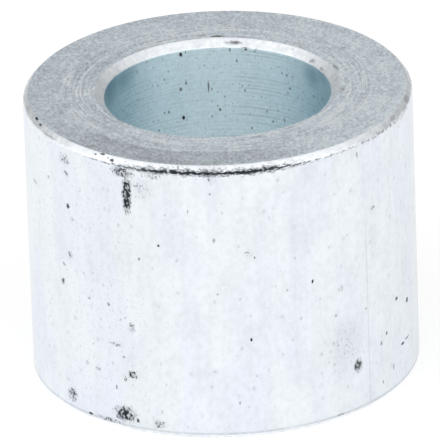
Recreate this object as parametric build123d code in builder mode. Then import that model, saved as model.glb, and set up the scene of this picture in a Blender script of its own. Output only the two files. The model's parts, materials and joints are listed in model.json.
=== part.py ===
"""Spacer sleeve for an M10 bolt, turned in one piece from cold-drawn steel bar.

The bar is faced, bored right through, countersunk at both mouths of the bore and parted off.
The faced end is up. The origin is the centre of the parted face, and the bore runs along +Z.
"""

import os

from build123d import *

# Driving dimensions, in millimetres.
outer_diameter = 18.0  # the drawn skin of the bar, left as it came
bore_diameter = 10.5  # fine clearance hole for an M10 bolt
length = 13.7  # between the two faces: the distance that the sleeve holds
rim_chamfer = 0.24  # 45 degree chamfer round the outer edge of the faced end
rim_corner_radius = 0.18  # soft corner where that chamfer runs out into the drawn skin
foot_chamfer = 0.2  # 45 degree edge break round the outer edge of the parted end
mouth_width = 0.38  # countersink at each mouth of the bore, measured across the face
mouth_depth = 0.32  # the same countersink, measured down the bore

outer_radius = outer_diameter / 2
bore_radius = bore_diameter / 2

with BuildPart() as spacer_sleeve:
    # Half section through the wall: its X runs outwards from the axis and its Y up along it.
    with BuildSketch(Plane.XZ) as half_section:
        with Locations((bore_radius, 0)):
            Rectangle(outer_radius - bore_radius, length, align=(Align.MIN, Align.MIN))

        outer_corners = half_section.vertices().group_by(Axis.X)[-1].sort_by(Axis.Y)
        chamfer(outer_corners.first, length=foot_chamfer)
        chamfer(outer_corners.last, length=rim_chamfer)

        rim_corner = half_section.vertices().group_by(Axis.X)[-1].sort_by(Axis.Y).last
        fillet(rim_corner, radius=rim_corner_radius)
    revolve(axis=Axis.Z)

    # The countersinks, lower mouth first: each is cut where the bore breaks out of a face.
    for end in (0, -1):
        end_face = spacer_sleeve.faces().filter_by(Plane.XY).sort_by(Axis.Z)[end]
        mouth = end_face.edges().filter_by(GeomType.CIRCLE).sort_by(SortBy.RADIUS).first
        chamfer(mouth, length=mouth_width, length2=mouth_depth, reference=end_face)

spacer_sleeve.part.label = "spacer_sleeve"

os.makedirs("parts", exist_ok=True)
export_step(spacer_sleeve.part, "parts/spacer_sleeve.step")
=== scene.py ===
"""Spacer sleeve: the finished look of a zinc-plated sleeve turned from bar, with its stage."""

import json
import math
import random

import bmesh
import bpy
from mathutils import Matrix, Vector, noise


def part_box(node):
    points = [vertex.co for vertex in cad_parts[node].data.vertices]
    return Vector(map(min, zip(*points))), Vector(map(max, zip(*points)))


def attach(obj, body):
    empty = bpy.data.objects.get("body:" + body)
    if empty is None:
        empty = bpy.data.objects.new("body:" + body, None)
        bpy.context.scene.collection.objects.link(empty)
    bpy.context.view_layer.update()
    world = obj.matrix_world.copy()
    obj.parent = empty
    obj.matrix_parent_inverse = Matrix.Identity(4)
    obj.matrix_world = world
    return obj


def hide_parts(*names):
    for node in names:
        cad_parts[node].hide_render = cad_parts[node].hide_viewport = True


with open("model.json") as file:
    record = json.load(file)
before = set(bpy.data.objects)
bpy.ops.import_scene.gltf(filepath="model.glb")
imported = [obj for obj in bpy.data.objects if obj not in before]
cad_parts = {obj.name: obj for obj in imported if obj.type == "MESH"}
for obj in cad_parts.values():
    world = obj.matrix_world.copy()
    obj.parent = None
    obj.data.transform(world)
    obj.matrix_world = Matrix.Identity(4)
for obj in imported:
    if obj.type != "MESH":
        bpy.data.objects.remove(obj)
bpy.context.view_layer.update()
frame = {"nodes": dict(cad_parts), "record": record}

bl_info = {
    "name": "Spacer Sleeve",
    "version": (1, 0, 0),
    "blender": (4, 5, 0),
    "location": "3D View > Sidebar > Spacer Sleeve",
    "description": "Builds a turned, zinc-plated spacer sleeve over its CAD solid, and its stage",
    "category": "Add Mesh",
}

MM = 0.001
NODE = "spacer_sleeve"
WHITE = (1.0, 1.0, 1.0, 1.0)

# How close two places are to count as the same height, the same run of the section, or one vertex.
SAME_LEVEL = 0.001 * MM
SAME_RUN = 0.01 * MM
SAME_PLACE = 0.0001 * MM

# Sizes read off the CAD solid, in metres.
solid = frame["nodes"][NODE]
bottom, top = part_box(NODE)
OUTER_RADIUS = (top.x - bottom.x) / 2
LENGTH = top.z - bottom.z
bore_mount = next(m for m in frame["record"]["mounts"] if m["name"] == "bore")
BORE_RADIUS = bore_mount["dims"]["r_mm"] * MM
BORE_LENGTH = bore_mount["dims"]["length_mm"] * MM


def face_ring(height):
    """Inner and outer radius of the CAD solid's flat ring at this height."""
    level = [v.co for v in solid.data.vertices if abs(v.co.z - height) < SAME_LEVEL]
    radii = [place.xy.length for place in level]
    return min(radii), max(radii)


FACE_INNER, FACE_OUTER = face_ring(top.z)
FOOT_OUTER = face_ring(bottom.z)[1]
RIM_CHAMFER = OUTER_RADIUS - FACE_OUTER
FOOT_CHAMFER = OUTER_RADIUS - FOOT_OUTER
MOUTH_DEPTH = (LENGTH - BORE_LENGTH) / 2


# ---------------------------------------------------------------- shader maths


class Value:
    """A shader output that Python arithmetic works on: each operator adds one Math node."""

    def __init__(self, shader, socket):
        self.shader = shader
        self.socket = socket

    def math(self, operation, *others, clamp=False):
        settings = {"operation": operation, "use_clamp": clamp}
        return self.shader.node("ShaderNodeMath", settings, dict(enumerate((self, *others))))

    def flipped(self, operation, other):
        return self.shader.node("ShaderNodeMath", {"operation": operation}, {0: other, 1: self})

    def __add__(self, other):
        return self.math("ADD", other)

    def __radd__(self, other):
        return self.math("ADD", other)

    def __sub__(self, other):
        return self.math("SUBTRACT", other)

    def __rsub__(self, other):
        return self.flipped("SUBTRACT", other)

    def __mul__(self, other):
        return self.math("MULTIPLY", other)

    def __rmul__(self, other):
        return self.math("MULTIPLY", other)

    def __truediv__(self, other):
        return self.math("DIVIDE", other)

    def __rtruediv__(self, other):
        return self.flipped("DIVIDE", other)

    def __pow__(self, other):
        return self.math("POWER", other)

    def __abs__(self):
        return self.math("ABSOLUTE")

    def highest(self, other):
        return self.math("MAXIMUM", other)

    def clamped(self):
        return self.math("ADD", 0.0, clamp=True)

    def step(self, start, end):
        """0 before start and 1 past end, smooth between them; end may be the lower of the two."""
        settings = {"interpolation_type": "SMOOTHSTEP"}
        low, high = (start, end) if start < end else (end, start)
        first, last = (0.0, 1.0) if start < end else (1.0, 0.0)
        sockets = {"Value": self, "From Min": low, "From Max": high, "To Min": first, "To Max": last}
        return self.shader.node("ShaderNodeMapRange", settings, sockets)

    def band(self, centre, half_width, soft):
        """1 within half_width of centre, falling to 0 over soft."""
        return abs(self - centre).step(half_width + soft, half_width)

    def sibling(self, output):
        """Another output of the same node."""
        return Value(self.shader, self.socket.node.outputs[output])

    def part(self, axis):
        """One number, X, Y or Z, out of a vector or colour."""
        return self.shader.node("ShaderNodeSeparateXYZ", None, {0: self}, output=axis)


class Shader:
    """The node tree of one material or world, built from expressions."""

    def __init__(self, owner):
        owner.use_nodes = True
        self.tree = owner.node_tree
        self.tree.nodes.clear()

    def node(self, kind, settings=None, sockets=None, output=0):
        """Adds a node, sets it, fills its sockets with values or links, and returns one output."""
        made = self.tree.nodes.new(kind)
        for key, value in (settings or {}).items():
            if key == "stops":
                self.fill_ramp(made.color_ramp, value)
            else:
                setattr(made, key, value)
        for key, value in (sockets or {}).items():
            if isinstance(value, Value):
                self.tree.links.new(value.socket, made.inputs[key])
            else:
                made.inputs[key].default_value = value
        return Value(self, made.outputs[output]) if len(made.outputs) else made

    def fill_ramp(self, ramp, stops):
        while len(ramp.elements) > 1:
            ramp.elements.remove(ramp.elements[-1])
        ramp.elements[0].position = stops[0][0]
        ramp.elements[0].color = stops[0][1]
        for position, colour in stops[1:]:
            ramp.elements.new(position).color = colour

    def combine(self, x, y, z):
        return self.node("ShaderNodeCombineXYZ", None, {0: x, 1: y, 2: z})

    def noise(self, place, scale, detail=2.0, roughness=0.5):
        """Fractal noise about 0.5, with scale features to a millimetre."""
        sockets = {"Vector": place, "Scale": scale, "Detail": detail, "Roughness": roughness}
        return self.node("ShaderNodeTexNoise", {"noise_dimensions": "3D"}, sockets)

    def rings(self, along, scale, detail=2.0, roughness=0.5):
        """The same noise along one number, as on the marks of a lathe tool."""
        sockets = {"W": along, "Scale": scale, "Detail": detail, "Roughness": roughness}
        return self.node("ShaderNodeTexNoise", {"noise_dimensions": "1D"}, sockets)

    def dots(self, flat, scale, radius, share):
        """Round dots on a flat chart, scale to a millimetre, of which share show, up to radius."""
        settings = {"voronoi_dimensions": "2D"}
        sockets = {"Vector": flat, "Scale": scale}
        nearest = self.node("ShaderNodeTexVoronoi", settings, sockets, output="Distance")
        draw = nearest.sibling("Color")
        size = (draw.part("Y") * 0.65 + 0.35) * (radius * scale)
        shown = ((share - draw.part("X")) * 12.0).clamped()
        return ((size - nearest) / (size * 0.6)).clamped() * shown * (draw.part("Z") * 0.6 + 0.4)

    def stretched(self, place, x, y, z):
        sockets = {0: place, 1: (x, y, z)}
        return self.node("ShaderNodeVectorMath", {"operation": "MULTIPLY"}, sockets)

    def mixed(self, factor, first, second, blend="MIX"):
        """Two colours blended by factor."""
        settings = {"data_type": "RGBA", "blend_type": blend}
        sockets = {0: factor, 6: opaque(first), 7: opaque(second)}
        return self.node("ShaderNodeMix", settings, sockets, output=2)

    def grey(self, value):
        """A number as a colour, to multiply a colour by."""
        return self.node("ShaderNodeCombineColor", None, {0: value, 1: value, 2: value})


def opaque(colour):
    return colour if isinstance(colour, Value) else (*colour[:3], 1.0)


class Surface:
    """Where a shaded point lies on the sleeve, in millimetres and degrees."""

    def __init__(self, shader):
        place = shader.node("ShaderNodeTexCoord", None, None, output="Object")
        scale = {0: place, "Scale": 1 / MM}
        self.place = shader.node("ShaderNodeVectorMath", {"operation": "SCALE"}, scale)
        x = shader.node("ShaderNodeSeparateXYZ", None, {0: self.place}, output="X")
        y = shader.node("ShaderNodeSeparateXYZ", None, {0: self.place}, output="Y")
        z = shader.node("ShaderNodeSeparateXYZ", None, {0: self.place}, output="Z")
        self.radius = (x * x + y * y) ** 0.5
        self.across = x / self.radius
        self.ahead = y / self.radius
        self.azimuth = x.math("ARCTAN2", 0.0 - y) * math.degrees(1)
        self.behind = x.math("ARCTAN2", y) * math.degrees(1)
        self.depth = LENGTH / MM - z


# ---------------------------------------------------------------- properties


class SleeveShape(bpy.types.PropertyGroup):
    """Sizes that dress the sleeve. The main sizes come from the CAD solid."""

    segments: bpy.props.IntProperty(
        name="Segments",
        description="Facets round the sleeve",
        default=360,
        min=48,
    )
    corner_radius: bpy.props.FloatProperty(
        name="Corner Radius",
        description="Soft corner where the rim chamfer runs out into the drawn skin",
        default=0.18 * MM,
        unit="LENGTH",
    )
    edge_radius: bpy.props.FloatProperty(
        name="Edge Radius",
        description="Wear on every other edge",
        default=0.03 * MM,
        unit="LENGTH",
    )
    bore_feed: bpy.props.FloatProperty(
        name="Bore Feed",
        description="Distance between the tool marks in the bore",
        default=0.2 * MM,
        unit="LENGTH",
    )
    face_feed: bpy.props.FloatProperty(
        name="Face Feed",
        description="Distance between the tool marks on the faced end",
        default=0.16 * MM,
        unit="LENGTH",
    )
    mark_depth: bpy.props.FloatProperty(
        name="Mark Depth",
        description="Depth of the deepest tool marks",
        default=0.003 * MM,
        unit="LENGTH",
    )
    rim_wander: bpy.props.FloatProperty(
        name="Rim Wander",
        description="How far the lower edge of the rim chamfer strays up and down",
        default=0.035 * MM,
        unit="LENGTH",
    )


class SleeveFinish(bpy.types.PropertyGroup):
    """Colours of the plated surfaces and of what dirties them."""

    skin: bpy.props.FloatVectorProperty(
        name="Drawn Skin",
        description="Bright zinc on the drawn outside of the bar",
        subtype="COLOR",
        default=(0.828, 0.87, 0.916),
    )
    face: bpy.props.FloatVectorProperty(
        name="Turned Face",
        description="Zinc over the faced ends, duller for the tool marks",
        subtype="COLOR",
        default=(0.79, 0.865, 0.935),
    )
    edge: bpy.props.FloatVectorProperty(
        name="Edge Breaks",
        description="Zinc over the smooth chamfers and countersinks",
        subtype="COLOR",
        default=(0.9, 0.935, 0.975),
    )
    bore: bpy.props.FloatVectorProperty(
        name="Bore",
        description="Blue passivated zinc inside the bore",
        subtype="COLOR",
        default=(0.822, 0.915, 0.948),
    )
    # Painted shade: the dark teal of the bore's upper flanks.
    painted_flank_shade: bpy.props.FloatVectorProperty(
        name="Painted Flank Shade",
        description="Zinc under the thickest blue passivation",
        subtype="COLOR",
        default=(0.27, 0.42, 0.5),
    )
    # Also the colour of painted shade: the line above the foot and the nicks on the rim.
    grime: bpy.props.FloatVectorProperty(
        name="Grime",
        description="Dark residue in pits and corners",
        subtype="COLOR",
        default=(0.035, 0.045, 0.055),
    )
    rust: bpy.props.FloatVectorProperty(
        name="Rust",
        description="Brown stain on the burrs",
        subtype="COLOR",
        default=(0.16, 0.14, 0.11),
    )


class SleeveStage(bpy.types.PropertyGroup):
    """Camera and surroundings."""

    elevation: bpy.props.FloatProperty(
        name="Elevation",
        description="Height of the camera above level, as an angle",
        default=math.radians(24.7),
        subtype="ANGLE",
    )
    roll: bpy.props.FloatProperty(
        name="Roll",
        description="Lean of the camera",
        default=math.radians(-1.99),
        subtype="ANGLE",
    )
    distance: bpy.props.FloatProperty(
        name="Distance",
        description="From the camera to the sleeve",
        default=55 * OUTER_RADIUS,
        unit="LENGTH",
    )
    view_width: bpy.props.FloatProperty(
        name="View Width",
        description="Width that the picture takes in at the sleeve",
        default=2.2696 * OUTER_RADIUS,
        unit="LENGTH",
    )
    top_light: bpy.props.FloatProperty(
        name="Top Light",
        description="Brightness overhead",
        default=0.92,
        min=0.0,
    )
    back_light: bpy.props.FloatProperty(
        name="Back Light",
        description="Brightness of the room behind the sleeve, which the faced end mirrors",
        default=0.5,
        min=0.0,
    )
    panel_light: bpy.props.FloatProperty(
        name="Panel Light",
        description="Brightness of the panels in front",
        default=1.5,
        min=0.0,
    )
    panel_turn: bpy.props.FloatProperty(
        name="Panel Turn",
        description="How far the middle of the panels stands to the left of the camera",
        default=math.radians(10),
        subtype="ANGLE",
    )
    floor_colour: bpy.props.FloatVectorProperty(
        name="Floor",
        description="Colour of the floor and of the far background",
        subtype="COLOR",
        default=(0.96, 0.96, 0.96),
    )


# ---------------------------------------------------------------- the sleeve's mesh


def half_section(bm, shape):
    """The wall's half section as a closed wire in the XZ plane, with its corners rounded."""
    corners = [
        (BORE_RADIUS, MOUTH_DEPTH),
        (BORE_RADIUS, LENGTH - MOUTH_DEPTH),
        (FACE_INNER, LENGTH),
        (FACE_OUTER, LENGTH),
        (OUTER_RADIUS, LENGTH - RIM_CHAMFER),
        (OUTER_RADIUS, FOOT_CHAMFER),
        (FOOT_OUTER, 0),
        (FACE_INNER, 0),
    ]
    wire = [bm.verts.new((radius, 0, height)) for radius, height in corners]
    for start, end in zip(wire, wire[1:] + wire[:1]):
        bm.edges.new((start, end))
    rim = wire[4]
    corner_run = shape.corner_radius * math.tan(math.radians(45) / 2)
    edge_run = shape.edge_radius * math.tan(math.radians(45) / 2)
    for vertex in wire:
        bmesh.ops.bevel(
            bm,
            geom=[vertex],
            offset=corner_run if vertex is rim else edge_run,
            offset_type="OFFSET",
            segments=5 if vertex is rim else 2,
            profile=0.5,
            material=-1,
            affect="VERTICES",
        )


def add_rows(bm, shape):
    """Cuts the long runs of the half section into rows that the tool marks and wear can move."""
    for edge in list(bm.edges):
        low, high = sorted((v.co for v in edge.verts), key=lambda place: place.x + place.z)
        run = edge.calc_length()
        if high.x < BORE_RADIUS + SAME_RUN:
            spacing = shape.bore_feed / 2
        elif low.z > LENGTH - SAME_RUN:
            spacing = shape.face_feed / 2
        elif run > BORE_LENGTH / 2:
            spacing = 0.5 * MM
        elif run > MM:
            spacing = 0.4 * MM
        else:
            spacing = 0.1 * MM
        cuts = round(run / spacing) - 1
        if cuts > 0:
            bmesh.ops.subdivide_edges(bm, edges=[edge], cuts=cuts)


def cut_tool_marks(bm, shape):
    """Every second row of the bore and the faced end lies deeper, as a lathe tool leaves it."""
    draw = random.Random(7)
    shallowest = 0.2
    inner_rows = slice(2, -2, 2)
    bore = [v for v in bm.verts if v.co.x < BORE_RADIUS + SAME_LEVEL]
    for vertex in sorted(bore, key=lambda v: v.co.z)[inner_rows]:
        vertex.co.x += shape.mark_depth * draw.uniform(shallowest, 1.0)
    face = [v for v in bm.verts if v.co.z > LENGTH - SAME_LEVEL]
    for vertex in sorted(face, key=lambda v: v.co.x)[inner_rows]:
        vertex.co.z -= shape.mark_depth * draw.uniform(shallowest, 1.0)


def wear_rim(bm, shape):
    """The drawn skin breaks unevenly at the rim chamfer, so that edge wanders up and down."""
    reach = 2 * RIM_CHAMFER
    for vertex in bm.verts:
        depth = LENGTH - vertex.co.z
        radius = vertex.co.xy.length
        if not (0.2 * RIM_CHAMFER < depth < reach) or radius < FACE_OUTER:
            continue
        share = math.sin(math.pi * depth / reach)
        place = vertex.co / MM
        stray = noise.fractal(place * 2.2, 0.8, 2.0, 4) * share
        vertex.co.z += shape.rim_wander * stray
        vertex.co.xy *= 1 - 0.15 * shape.rim_wander * share * (1 + abs(stray)) / radius


SKIN, FACE, EDGE, BORE = range(4)


def surface_kind(face):
    """Which finish a face of the mesh has."""
    centre = face.calc_center_median()
    radius = centre.xy.length
    if abs(face.normal.z) > 0.97:
        return FACE
    if abs(face.normal.z) > 0.2:
        return EDGE
    return BORE if radius < (BORE_RADIUS + OUTER_RADIUS) / 2 else SKIN


def sleeve_mesh(shape):
    """Spins the half section into the sleeve, with its tool marks and its rim wear."""
    bm = bmesh.new()
    half_section(bm, shape)
    add_rows(bm, shape)
    cut_tool_marks(bm, shape)
    bmesh.ops.spin(
        bm,
        geom=bm.verts[:] + bm.edges[:],
        cent=(0, 0, 0),
        axis=(0, 0, 1),
        angle=math.tau,
        steps=shape.segments,
        use_merge=True,
    )
    bmesh.ops.remove_doubles(bm, verts=bm.verts, dist=SAME_PLACE)
    wear_rim(bm, shape)
    bmesh.ops.recalc_face_normals(bm, faces=bm.faces)
    bm.normal_update()
    for face in bm.faces:
        face.smooth = True
        face.material_index = surface_kind(face)
    mesh = bpy.data.meshes.new("turned_sleeve")
    bm.to_mesh(mesh)
    bm.free()
    return mesh


# ---------------------------------------------------------------- the sleeve's finishes

# Rows below: angle round the sleeve in degrees, distance along the surface in millimetres, half
# width and half height in millimetres, and strength. Angles on the outside count from the front
# (-Y) and angles in the bore from the back (+Y), both towards +X. Distances count down from the
# faced end.

# Patches of the drawn skin where dark specks crowd together.
SKIN_GRIME = [
    (-28.6, 1.7, 0.42, 1.55, 1.0),
    (-24.0, 1.3, 0.9, 1.0, 0.4),
    (-30.0, 0.6, 1.0, 0.5, 0.7),
    (-20.0, 0.55, 0.9, 0.35, 0.5),
    (-3.0, 0.6, 0.5, 0.4, 0.45),
    (-52.5, 0.9, 0.75, 0.6, 0.55),
    (-51.4, 1.6, 0.3, 0.25, 0.6),
    (-36.6, 1.7, 0.3, 0.25, 0.4),
    (-45.7, 2.1, 0.15, 0.4, 0.35),
    (-51.4, 3.2, 0.25, 0.25, 0.85),
    (-49.7, 3.75, 0.25, 0.3, 0.5),
    (-33.0, 4.5, 0.2, 0.4, 0.35),
    (-51.4, 5.65, 0.4, 0.35, 0.65),
    (-54.3, 6.3, 0.3, 0.2, 0.65),
    (-55.4, 7.2, 0.3, 0.35, 0.75),
    (-42.0, 7.3, 2.2, 0.25, 0.25),
    (-28.6, 8.4, 0.35, 0.6, 0.5),
    (-34.0, 9.44, 0.75, 0.16, 0.6),
    (-28.8, 10.8, 0.42, 0.38, 0.9),
    (-31.3, 11.1, 0.15, 0.25, 0.9),
    (-41.1, 10.95, 0.3, 0.15, 0.7),
    (-56.0, 10.8, 0.35, 0.35, 0.3),
    (-52.8, 12.85, 0.65, 0.65, 0.7),
    (-32.0, 12.9, 1.1, 0.75, 0.8),
    (-38.0, 13.4, 1.6, 0.3, 0.6),
    (-20.6, 13.1, 0.6, 0.4, 0.65),
    (-3.5, 10.3, 0.35, 0.3, 0.3),
    (42.0, 11.3, 0.5, 0.6, 0.7),
    (36.0, 7.1, 0.2, 0.25, 0.5),
    (36.5, 10.0, 2.1, 2.1, 0.34),
    (49.7, 3.8, 0.4, 0.3, 0.4),
    (7.5, 4.4, 0.35, 0.4, 0.35),
    (32.9, 4.8, 0.3, 0.2, 0.35),
    (36.5, 7.1, 0.25, 0.3, 0.5),
]

# Single dark pits in the drawn skin.
SKIN_PITS = [
    (26.7, 6.31, 0.07, 0.14, 1.0),
    (7.4, 8.74, 0.075, 0.11, 1.0),
    (-19.1, 4.05, 0.08, 0.09, 0.9),
    (-25.3, 4.85, 0.07, 0.1, 0.6),
    (-9.9, 2.2, 0.05, 0.12, 0.5),
    (-3.3, 1.33, 0.06, 0.08, 0.5),
    (-2.6, 3.65, 0.07, 0.16, 0.5),
    (-2.0, 6.36, 0.07, 0.08, 0.5),
    (-61.1, 2.28, 0.12, 0.1, 0.4),
    (-71.4, 3.15, 0.35, 0.12, 0.3),
    (9.1, 4.62, 0.06, 0.08, 0.75),
    (6.9, 4.34, 0.16, 0.05, 0.5),
    (18.6, 6.48, 0.06, 0.08, 0.4),
    (44.0, 0.75, 0.07, 0.22, 0.5),
    (50.6, 3.74, 0.1, 0.08, 0.5),
    (-43.7, 7.49, 0.12, 0.07, 0.5),
    (-36.3, 7.49, 0.1, 0.09, 0.6),
    (-31.6, 10.0, 0.12, 0.07, 0.5),
    (34.3, 8.38, 0.08, 0.08, 0.5),
    (46.0, 8.62, 0.08, 0.08, 0.45),
    (61.7, 9.09, 0.15, 0.12, 0.85),
    (69.4, 9.69, 0.2, 0.18, 0.8),
    (55.4, 10.44, 0.09, 0.13, 0.7),
    (52.6, 10.79, 0.09, 0.12, 0.6),
    (65.2, 11.62, 0.22, 0.09, 0.85),
    (68.6, 11.56, 0.35, 0.07, 0.6),
    (58.9, 12.4, 0.08, 0.2, 0.5),
    (53.1, 12.77, 0.09, 0.12, 0.5),
    (42.9, 11.3, 0.07, 0.16, 0.9),
    (3.4, 11.9, 0.05, 0.12, 0.6),
    (8.6, 10.6, 0.05, 0.1, 0.35),
    (-31.9, 12.87, 0.08, 0.27, 1.0),
    (-27.6, 13.1, 0.1, 0.14, 0.9),
    (-44.9, 13.4, 0.2, 0.08, 0.9),
    (-27.5, 13.55, 0.12, 0.07, 0.9),
    (-34.5, 11.6, 0.07, 0.15, 0.6),
    (34.9, 13.46, 0.3, 0.1, 0.5),
]

# Dark spots on the rim chamfer and the soft corner below it: blobs of dirt, and painted shade
# standing in for nicks, which the mesh does not cut.
RIM_BLOBS = [
    (-71.5, 0.02, 0.28, 0.09, 1.0),
    (-67.5, 0.08, 0.18, 0.06, 0.9),
    (-37.3, 0.04, 0.2, 0.05, 1.0),
    (-39.6, 0.09, 0.1, 0.04, 0.8),
    (-33.5, 0.17, 0.14, 0.1, 0.9),
    (-35.0, 0.1, 0.08, 0.04, 0.7),
    (-12.5, 0.1, 0.07, 0.14, 0.5),
    (-9.5, 0.15, 0.1, 0.1, 0.4),
    (-1.8, 0.1, 0.06, 0.12, 0.35),
    (22.0, 0.12, 0.06, 0.1, 0.25),
    (64.0, 0.12, 0.5, 0.08, 0.3),
    (78.0, 0.1, 0.6, 0.2, 0.3),
    (-60.0, 0.2, 0.8, 0.06, 0.35),
]

# Grime on the upper countersink, with angles as in the bore.
MOUTH_SMUDGES = [
    (9.0, 0.16, 0.7, 0.13, 0.75),
    (15.0, 0.33, 0.45, 0.06, 0.9),
    (4.0, 0.36, 0.5, 0.05, 0.6),
    (21.0, 0.34, 0.25, 0.06, 0.8),
    (56.0, 0.2, 0.35, 0.16, 0.7),
    (66.0, 0.25, 0.4, 0.12, 0.6),
    (40.0, 0.1, 0.25, 0.06, 0.5),
    (-64.0, 0.3, 0.7, 0.06, 0.4),
]

# Dark specks in the bore.
BORE_PITS = [
    (-18.3, 0.5, 0.09, 0.14, 1.0),
    (-15.6, 0.42, 0.04, 0.1, 0.7),
    (15.3, 0.4, 0.09, 0.07, 0.9),
    (7.0, 0.45, 0.05, 0.12, 0.8),
    (20.0, 0.44, 0.05, 0.06, 0.7),
    (10.5, 1.0, 0.04, 0.12, 0.9),
    (38.2, 1.37, 0.08, 0.1, 0.6),
    (40.0, 2.0, 0.08, 0.1, 0.6),
    (14.2, 2.5, 0.05, 0.1, 0.7),
    (-4.5, 2.3, 0.05, 0.4, 0.75),
    (-16.0, 2.0, 0.06, 0.12, 0.8),
    (-19.0, 2.27, 0.1, 0.12, 0.7),
    (-27.8, 1.6, 0.06, 0.08, 0.5),
    (1.0, 3.5, 0.07, 0.1, 0.85),
    (-18.0, 3.73, 0.1, 0.15, 1.0),
    (-26.0, 3.3, 0.06, 0.1, 0.7),
    (36.0, 3.7, 0.05, 0.2, 0.6),
    (17.2, 4.4, 0.06, 0.08, 0.7),
    (-32.0, 4.1, 0.05, 0.1, 0.6),
]

# Painted shade: dark teal patches on the upper flanks of the bore, near the mouth.
BORE_FLANK_SHADE = [
    (-72.0, 0.6, 2.2, 1.3, 0.8),
    (-56.0, 0.75, 1.3, 0.9, 0.6),
    (57.0, 0.9, 1.0, 0.8, 0.55),
    (68.0, 0.5, 1.2, 0.7, 0.3),
]

# Grime round the mouth of the bore, on the faced end: the distance is the radius here.
FACE_STAINS = [
    (1.0, 5.82, 0.6, 0.17, 1.0),
    (-6.0, 5.98, 0.45, 0.09, 0.8),
    (56.0, 7.15, 0.24, 0.14, 0.6),
    (78.0, 6.9, 0.12, 0.1, 0.5),
    (42.0, 5.85, 0.2, 0.12, 0.7),
    (97.0, 5.8, 1.0, 0.22, 0.5),
    (72.0, 5.8, 0.9, 0.16, 0.6),
    (-72.0, 5.75, 0.8, 0.12, 0.35),
]

# The same on the front half of the faced end, with angles from the front.
FACE_SMEARS = [
    (17.0, 6.0, 0.9, 0.24, 0.5),
    (34.0, 5.85, 0.6, 0.14, 0.42),
    (-51.0, 8.7, 0.35, 0.06, 0.6),
    (-35.0, 8.72, 0.25, 0.05, 0.5),
    (40.0, 8.72, 0.6, 0.04, 0.5),
]


class Chart:
    """A round surface laid flat: millimetres round it from angle 0, and millimetres along it."""

    def __init__(self, shader, surface, angle, along, reach, wander=0.12):
        self.shader = shader
        self.reach = reach
        flat = shader.combine(angle * (math.radians(1) * reach), along, 0.0)
        sockets = {"Vector": surface.place, "Scale": 5.0, "Detail": 2.0}
        stray = shader.node("ShaderNodeTexNoise", None, sockets, output="Color")
        sockets = {0: stray, 1: (wander, wander, 0), 2: (-wander / 2, -wander / 2, 0)}
        stray = shader.node("ShaderNodeVectorMath", {"operation": "MULTIPLY_ADD"}, sockets)
        self.place = shader.node("ShaderNodeVectorMath", {"operation": "ADD"}, {0: flat, 1: stray})

    def marks(self, places, soft=1.0):
        """How strongly a point is marked, from rows of places, each an ellipse with a soft edge."""
        total = None
        for angle, along, width, height, strength in places:
            across = math.radians(angle) * self.reach
            scale = (1 / width, 1 / height, 0)
            sockets = {0: self.place, 1: scale, 2: (-across / width, -along / height, 0)}
            local = self.shader.node("ShaderNodeVectorMath", {"operation": "MULTIPLY_ADD"}, sockets)
            settings = {"operation": "LENGTH"}
            length = self.shader.node("ShaderNodeVectorMath", settings, {0: local}, output="Value")
            mark = length.step(1.0, 1.0 - soft) * strength
            total = mark if total is None else total.highest(mark)
        return total


def outside_chart(shader, surface):
    return Chart(shader, surface, surface.azimuth, surface.depth, OUTER_RADIUS / MM)


def rim_line(shader, surface):
    """A ragged dark line in the soft corner under the rim chamfer, heaviest at the front."""
    ragged = shader.noise(surface.place, 1.6, 5.0, 0.75) - 0.5
    fine = shader.noise(shader.stretched(surface.place, 1.0, 1.0, 2.5), 5.0, 3.0, 0.7) - 0.5
    heavy = surface.azimuth.band(-3.0, 14.0, 22.0)
    off = abs(surface.depth - 0.3 - ragged * 0.2)
    core = (0.03 + heavy * 0.06 + fine * 0.4 - off) / 0.04
    halo = (0.1 + heavy * 0.1 + fine * 0.6 - off) / 0.12
    line = (core.clamped() * (0.65 + heavy * 0.35)).highest(halo.clamped() * (0.25 + heavy * 0.45))
    return line * surface.azimuth.band(15.0, 52.0, 14.0)


# Turns the gloss of a grooved surface from along its rings to across them, as a share of a turn.
ACROSS_GROOVES = 0.25


def finish_node(shader, colour, roughness, bump, grooved=0.0):
    """The metal and the material's output; grooved is how much rings spread the gloss."""
    sockets = {"Base Color": colour, "Roughness": roughness, "Metallic": 1.0, "Normal": bump}
    if grooved:
        sockets.update({"Anisotropic": grooved, "Anisotropic Rotation": ACROSS_GROOVES})
    metal = shader.node("ShaderNodeBsdfPrincipled", None, sockets)
    shader.node("ShaderNodeOutputMaterial", None, {"Surface": metal})


def bump_node(shader, height, distance):
    """A bump whose height of 1 stands distance millimetres proud."""
    sockets = {"Height": height, "Distance": distance * MM, "Strength": 1.0}
    return shader.node("ShaderNodeBump", None, sockets)


def tinted(colour, red, green, blue):
    """A finish's colour with a slight cast."""
    return tuple(c * t for c, t in zip(colour, (red, green, blue)))


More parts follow.
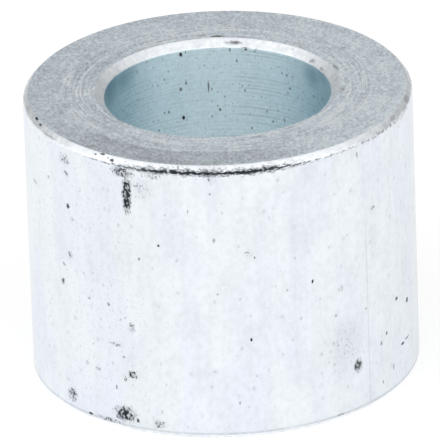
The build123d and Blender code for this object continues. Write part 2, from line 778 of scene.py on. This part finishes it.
def drawn_skin(finish):
    """Bright zinc over drawn bar: mottling, fine lines along the bar, specks and dirty patches, with
    painted light lighter on the left and a painted shadow line above the foot.
    """
    material = bpy.data.materials.new("drawn_skin")
    shader = Shader(material)
    surface = Surface(shader)
    place = surface.place
    streaks = shader.noise(shader.stretched(place, 1.0, 1.0, 0.05), 2.6, 4.0, 0.65) - 0.5
    cloud = shader.noise(shader.stretched(place, 1.0, 1.0, 0.6), 0.7, 4.0, 0.6) - 0.5
    tint = shader.noise(shader.stretched(place, 1.0, 1.0, 0.35), 0.45, 2.0, 0.5)
    grain = shader.noise(shader.stretched(place, 1.0, 1.0, 0.7), 4.0, 5.0, 0.7) - 0.5

    chart = outside_chart(shader, surface)
    grime = (chart.marks(SKIN_GRIME, soft=0.85) * 1.3).clamped()
    grime = grime.highest(surface.azimuth.step(-8.0, -30.0) * 0.22)
    pits = chart.marks(SKIN_PITS, soft=0.5)
    tall = shader.stretched(chart.place, 1.0, 0.7, 0.0)
    lone = shader.dots(tall, 4.2, 0.12, 0.07) * 0.35
    crowd = shader.noise(tall, 8.0, 3.0, 0.6) + cloud * 0.12
    crowd = ((crowd + grime * 0.27 - 0.69) / 0.09).clamped() * (0.25 + grime * 0.75)
    smear = ((grain * 1.3 + cloud * 0.5 + grime * 0.3 - 0.17) / 0.25).clamped()
    smear = smear * (0.16 + grime * 0.4)
    specks = lone.highest(crowd).highest(smear)
    scratch = surface.azimuth.band(46.9, 0.08, 0.15) * surface.depth.step(3.0, 6.0) * 0.16
    # Painted shadow: a grey line round the skin just above the foot, for the floor's shadow seen in
    # the foot chamfer.
    painted_foot_shadow = surface.depth.band(13.5, 0.05, 0.12) * (0.2 + grain * 0.9)
    # Besides specks, pits and marks, this mask carries the painted foot shadow.
    dirt = specks.highest(pits).highest(rim_line(shader, surface)).highest(scratch).highest(painted_foot_shadow)
    dirt = dirt.clamped()

    lavender = tinted(finish.skin, 0.985, 0.98, 1.005)
    white = tinted(finish.skin, 1.01, 1.012, 0.995)
    colour = shader.mixed(tint.step(0.42, 0.6), white, lavender)
    # Painted light: the skin is lighter towards the left side.
    left = surface.azimuth.step(-15.0, -75.0)
    shade = 0.99 + streaks * 0.1 + cloud * 0.22 + grain * 0.32 - grime * 0.1 + left * 0.07
    colour = shader.mixed(1.0, colour, shader.grey(shade), "MULTIPLY")
    colour = shader.mixed(dirt, colour, finish.grime)
    roughness = (0.36 + dirt * 0.35 + streaks * 0.1).clamped()
    height = streaks * 0.5 + grain - dirt * 1.5
    finish_node(shader, colour, roughness, bump_node(shader, height, 0.004))
    return material


def turned_face(finish):
    """Zinc over a faced end: arcs of tool marks, a grain that dulls it, grime by the mouth, and
    painted light: lighter to the right, darker to the left and at the front.
    """
    material = bpy.data.materials.new("turned_face")
    shader = Shader(material)
    surface = Surface(shader)
    place = surface.place
    around = shader.combine(surface.radius, surface.across * 0.25, surface.ahead * 0.25)
    arcs = shader.noise(around, 11.0, 3.0, 0.7)
    broad = shader.rings(surface.radius, 1.5, 2.0, 0.5) - 0.5
    grain = shader.noise(shader.stretched(place, 1.0, 0.6, 1.0), 8.0, 3.0, 0.75) - 0.5
    cloud = shader.noise(place, 0.6, 4.0, 0.65) - 0.5
    inner = surface.radius.step(7.35, 7.15)
    wear = shader.noise(place, 0.6, 2.0, 0.5).step(0.42, 0.6)
    scratches = ((arcs - 0.6) / 0.08).clamped() * (0.12 + inner * 0.88) * wear

    behind = Chart(shader, surface, surface.behind, surface.radius, 6.0, wander=0.3)
    front = Chart(shader, surface, surface.azimuth, surface.radius, 8.0)
    stain = behind.marks(FACE_STAINS).highest(front.marks(FACE_SMEARS))
    dirt = ((stain * 1.7 + grain * 2.4 - 0.35) * stain.step(0.0, 0.3)).clamped()
    specks = shader.dots(shader.stretched(place, 1.0, 1.0, 0.0), 3.0, 0.09, 0.1) * 0.5

    # Painted light and shade: the faced end is lighter to the right and darker to the left, and
    # darker at the front on its outer part.
    painted_side_light = surface.across * 0.97 + surface.ahead * -0.26
    painted_front_shade = surface.azimuth.band(-15.0, 20.0, 35.0) * (1.0 - inner)
    shade = 0.97 + (arcs - 0.5) * (0.2 + inner * 0.8) + broad * 0.15 + grain * 1.3 + cloud * 0.4
    shade = shade + scratches * 0.6 + painted_side_light * 0.05 - painted_front_shade * 0.2
    colour = shader.mixed(1.0, finish.face, shader.grey(shade), "MULTIPLY")
    colour = shader.mixed(dirt.highest(specks), colour, finish.rust)
    roughness = (0.42 + grain * 0.3 + dirt * 0.3).clamped()
    height = (arcs - 0.5) + grain - dirt
    finish_node(shader, colour, roughness, bump_node(shader, height, 0.006))
    return material


def edge_break(finish):
    """Zinc over the chamfers and countersinks, smooth and bright, with a dark line below the rim,
    and spots of dirt and of painted shade for nicks.
    """
    material = bpy.data.materials.new("edge_break")
    shader = Shader(material)
    surface = Surface(shader)
    grain = shader.noise(surface.place, 3.0, 4.0, 0.7) - 0.5
    chart = outside_chart(shader, surface)
    outside = surface.radius.step(7.0, 8.0)
    # Dirt and painted shade: some spots stand in for the shadows of nicks.
    blobs = chart.marks(RIM_BLOBS, soft=0.6) * outside
    mouth = Chart(shader, surface, surface.behind, surface.depth, BORE_RADIUS / MM)
    smudge = mouth.marks(MOUTH_SMUDGES) * (1.0 - outside)
    smudge = ((smudge * 1.4 + grain * 1.6 - 0.3) * smudge.step(0.0, 0.25)).clamped()
    dirt = rim_line(shader, surface).highest(blobs).highest(smudge)
    shade = 1.0 + grain * 0.7
    colour = shader.mixed(1.0, finish.edge, shader.grey(shade), "MULTIPLY")
    colour = shader.mixed(dirt, colour, finish.grime)
    roughness = (0.42 + grain * 0.15 + dirt * 0.3).clamped()
    finish_node(shader, colour, roughness, bump_node(shader, grain, 0.002))
    return material


# Distance in millimetres between the fine rings of the boring tool.
RING_PITCH = 0.19


def bored_wall(finish):
    """Blue passivated zinc in the bore, with rings left by the boring tool, dark specks, and painted
    shade on its upper flanks.
    """
    material = bpy.data.materials.new("bored_wall")
    shader = Shader(material)
    surface = Surface(shader)
    around = shader.combine(surface.depth, surface.across * 0.15, surface.ahead * 0.15)
    drift = shader.noise(around, 1.2, 2.0, 0.5)
    feed = (surface.depth * (math.tau / RING_PITCH) + drift * 9.0).math("SINE") * 0.5 + 0.5
    uneven = shader.noise(around, 5.0, 3.0, 0.7)
    grain = shader.noise(surface.place, 5.0, 4.0, 0.75) - 0.5
    broad = shader.noise(shader.stretched(surface.place, 1.0, 1.0, 0.6), 0.45, 2.0, 0.5)
    cut = broad.step(0.4, 0.6)
    lines = feed * feed * uneven.step(0.35, 0.65) * (0.25 + cut * 0.75)
    chart = Chart(shader, surface, surface.behind, surface.depth, BORE_RADIUS / MM, wander=0.06)
    pits = chart.marks(BORE_PITS, soft=0.5)
    tall = shader.stretched(chart.place, 1.0, 0.6, 0.0)
    specks = shader.dots(tall, 3.4, 0.06, 0.2).highest(shader.dots(tall, 6.0, 0.04, 0.4) * 0.6)
    dirt = pits.highest(specks * 0.8)
    # Painted shade: the upper flanks darken towards this teal, streaked by the grain and the rings.
    painted_flank_shade = chart.marks(BORE_FLANK_SHADE)
    painted_flank_shade = (painted_flank_shade + (grain * 1.5 - lines * 0.2) * painted_flank_shade).clamped()
    shade = 1.02 + grain * 0.5 - lines * 0.24
    colour = shader.mixed(1.0, finish.bore, shader.grey(shade), "MULTIPLY")
    colour = shader.mixed(painted_flank_shade, colour, finish.painted_flank_shade)
    colour = shader.mixed(dirt, colour, finish.grime)
    roughness = (0.3 + grain * 0.1 + dirt * 0.3).clamped()
    height = grain * 0.5 - lines * 0.6 - dirt
    finish_node(shader, colour, roughness, bump_node(shader, height, 0.005), grooved=0.9)
    return material


# ---------------------------------------------------------------- operators


class MESH_OT_spacer_sleeve(bpy.types.Operator):
    """Build the turned sleeve in place of its CAD solid"""

    bl_idname = "mesh.spacer_sleeve"
    bl_label = "Spacer Sleeve"

    def execute(self, context):
        settings = context.scene
        mesh = sleeve_mesh(settings.sleeve_shape)
        for finish in (drawn_skin, turned_face, edge_break, bored_wall):
            mesh.materials.append(finish(settings.sleeve_finish))
        piece = bpy.data.objects.new("turned_sleeve", mesh)
        settings.collection.objects.link(piece)
        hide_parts(NODE)
        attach(piece, "root")
        return {"FINISHED"}


FLOOR_RADIUS = 60 * OUTER_RADIUS
FLOOR_GLOW = 1.1
# How much of the floor's own glow the camera and reflections see over its lit colour.
GLOW_TO_CAMERA = 0.6
GLOW_TO_GLOSS = 0.42


def add_floor(stage):
    """A large plain floor that shows as the background, and keeps the sleeve's shadow."""
    bm = bmesh.new()
    bmesh.ops.create_circle(bm, cap_ends=True, segments=96, radius=FLOOR_RADIUS)
    mesh = bpy.data.meshes.new("floor")
    bm.to_mesh(mesh)
    bm.free()
    material = bpy.data.materials.new("pale_floor")
    shader = Shader(material)
    colour = (*stage.floor_colour, 1.0)
    matt = shader.node("ShaderNodeBsdfDiffuse", None, {"Color": colour})
    glow = shader.node("ShaderNodeEmission", None, {"Color": WHITE, "Strength": FLOOR_GLOW})
    camera = shader.node("ShaderNodeLightPath", None, None, output="Is Camera Ray")
    glossy = shader.node("ShaderNodeLightPath", None, None, output="Is Glossy Ray")
    seen = camera * GLOW_TO_CAMERA + glossy * GLOW_TO_GLOSS
    surface = shader.node("ShaderNodeMixShader", None, {0: seen, 1: matt, 2: glow})
    shader.node("ShaderNodeOutputMaterial", None, {"Surface": surface})
    mesh.materials.append(material)
    floor = bpy.data.objects.new("floor", mesh)
    bpy.context.scene.collection.objects.link(floor)


# Heights are the sine of an angle above level, and a facing of 1 looks straight at the panels.
PANEL_EDGE = (-0.3, 0.2)
CEILING_EDGE = (0.85, 0.6)
BACK_RISE = (0.25, 0.65)


def add_light(stage):
    """Soft light from a pale room: bright panels along the front, and a greyer wall behind."""
    world = bpy.data.worlds.new("studio")
    bpy.context.scene.world = world
    shader = Shader(world)
    way = shader.node("ShaderNodeTexCoord", None, None, output="Generated")
    level = shader.stretched(way, 1.0, 1.0, 0.0)
    level = shader.node("ShaderNodeVectorMath", {"operation": "NORMALIZE"}, {0: level})
    panel_way = (-math.sin(stage.panel_turn), -math.cos(stage.panel_turn), 0)
    settings = {"operation": "DOT_PRODUCT"}
    facing = shader.node("ShaderNodeVectorMath", settings, {0: level, 1: panel_way}, output="Value")
    front = facing.step(*PANEL_EDGE)
    low = way.part("Z").step(*CEILING_EDGE)
    back = stage.back_light * (0.7 + way.part("Z").step(*BACK_RISE) * 0.7)
    wall_light = back + front * (stage.panel_light - back)
    light = stage.top_light + low * (wall_light - stage.top_light)
    camera = shader.node("ShaderNodeLightPath", None, None, output="Is Camera Ray")
    strength = light * (1.0 - camera) + camera
    sockets = {"Color": WHITE, "Strength": strength}
    background = shader.node("ShaderNodeBackground", None, sockets)
    shader.node("ShaderNodeOutputWorld", None, {"Surface": background})


# Where the camera looks, in outer radii.
LOOK_AT = Vector((-0.01, 0, 0.7713))


def add_camera(stage):
    """A long lens, looking down on the sleeve from the front."""
    target = LOOK_AT * OUTER_RADIUS
    back = Vector((0, -math.cos(stage.elevation), math.sin(stage.elevation)))
    data = bpy.data.cameras.new("camera")
    data.lens = data.sensor_width * stage.distance / stage.view_width
    data.clip_start = 0.1 * stage.distance
    data.clip_end = 10 * stage.distance
    camera = bpy.data.objects.new("camera", data)
    look = (-back).to_track_quat("-Z", "Y").to_matrix().to_4x4()
    place = Matrix.Translation(target + back * stage.distance)
    camera.matrix_world = place @ look @ Matrix.Rotation(stage.roll, 4, "Z")
    bpy.context.scene.collection.objects.link(camera)
    bpy.context.scene.camera = camera


class SCENE_OT_sleeve_stage(bpy.types.Operator):
    """Set the floor, the light and the camera"""

    bl_idname = "scene.sleeve_stage"
    bl_label = "Sleeve Stage"

    def execute(self, context):
        stage = context.scene.sleeve_stage
        add_floor(stage)
        add_light(stage)
        add_camera(stage)
        context.scene.view_settings.view_transform = "Standard"
        context.scene.cycles.glossy_bounces = 12
        return {"FINISHED"}


class VIEW3D_PT_spacer_sleeve(bpy.types.Panel):
    """Sizes, colours and operators of the sleeve"""

    bl_idname = "VIEW3D_PT_spacer_sleeve"
    bl_label = "Spacer Sleeve"
    bl_space_type = "VIEW_3D"
    bl_region_type = "UI"
    bl_category = "Spacer Sleeve"

    def draw(self, context):
        for group in ("sleeve_shape", "sleeve_finish", "sleeve_stage"):
            settings = getattr(context.scene, group)
            box = self.layout.box()
            for name in settings.__annotations__:
                box.prop(settings, name)
        self.layout.operator(MESH_OT_spacer_sleeve.bl_idname)
        self.layout.operator(SCENE_OT_sleeve_stage.bl_idname)


CLASSES = (
    SleeveShape,
    SleeveFinish,
    SleeveStage,
    MESH_OT_spacer_sleeve,
    SCENE_OT_sleeve_stage,
    VIEW3D_PT_spacer_sleeve,
)


def register():
    for kind in CLASSES:
        bpy.utils.register_class(kind)
    bpy.types.Scene.sleeve_shape = bpy.props.PointerProperty(type=SleeveShape)
    bpy.types.Scene.sleeve_finish = bpy.props.PointerProperty(type=SleeveFinish)
    bpy.types.Scene.sleeve_stage = bpy.props.PointerProperty(type=SleeveStage)


def unregister():
    for name in ("sleeve_shape", "sleeve_finish", "sleeve_stage"):
        delattr(bpy.types.Scene, name)
    for kind in reversed(CLASSES):
        bpy.utils.unregister_class(kind)


def main():
    register()
    bpy.ops.mesh.spacer_sleeve()
    bpy.ops.scene.sleeve_stage()


if __name__ == "__main__":
    main()
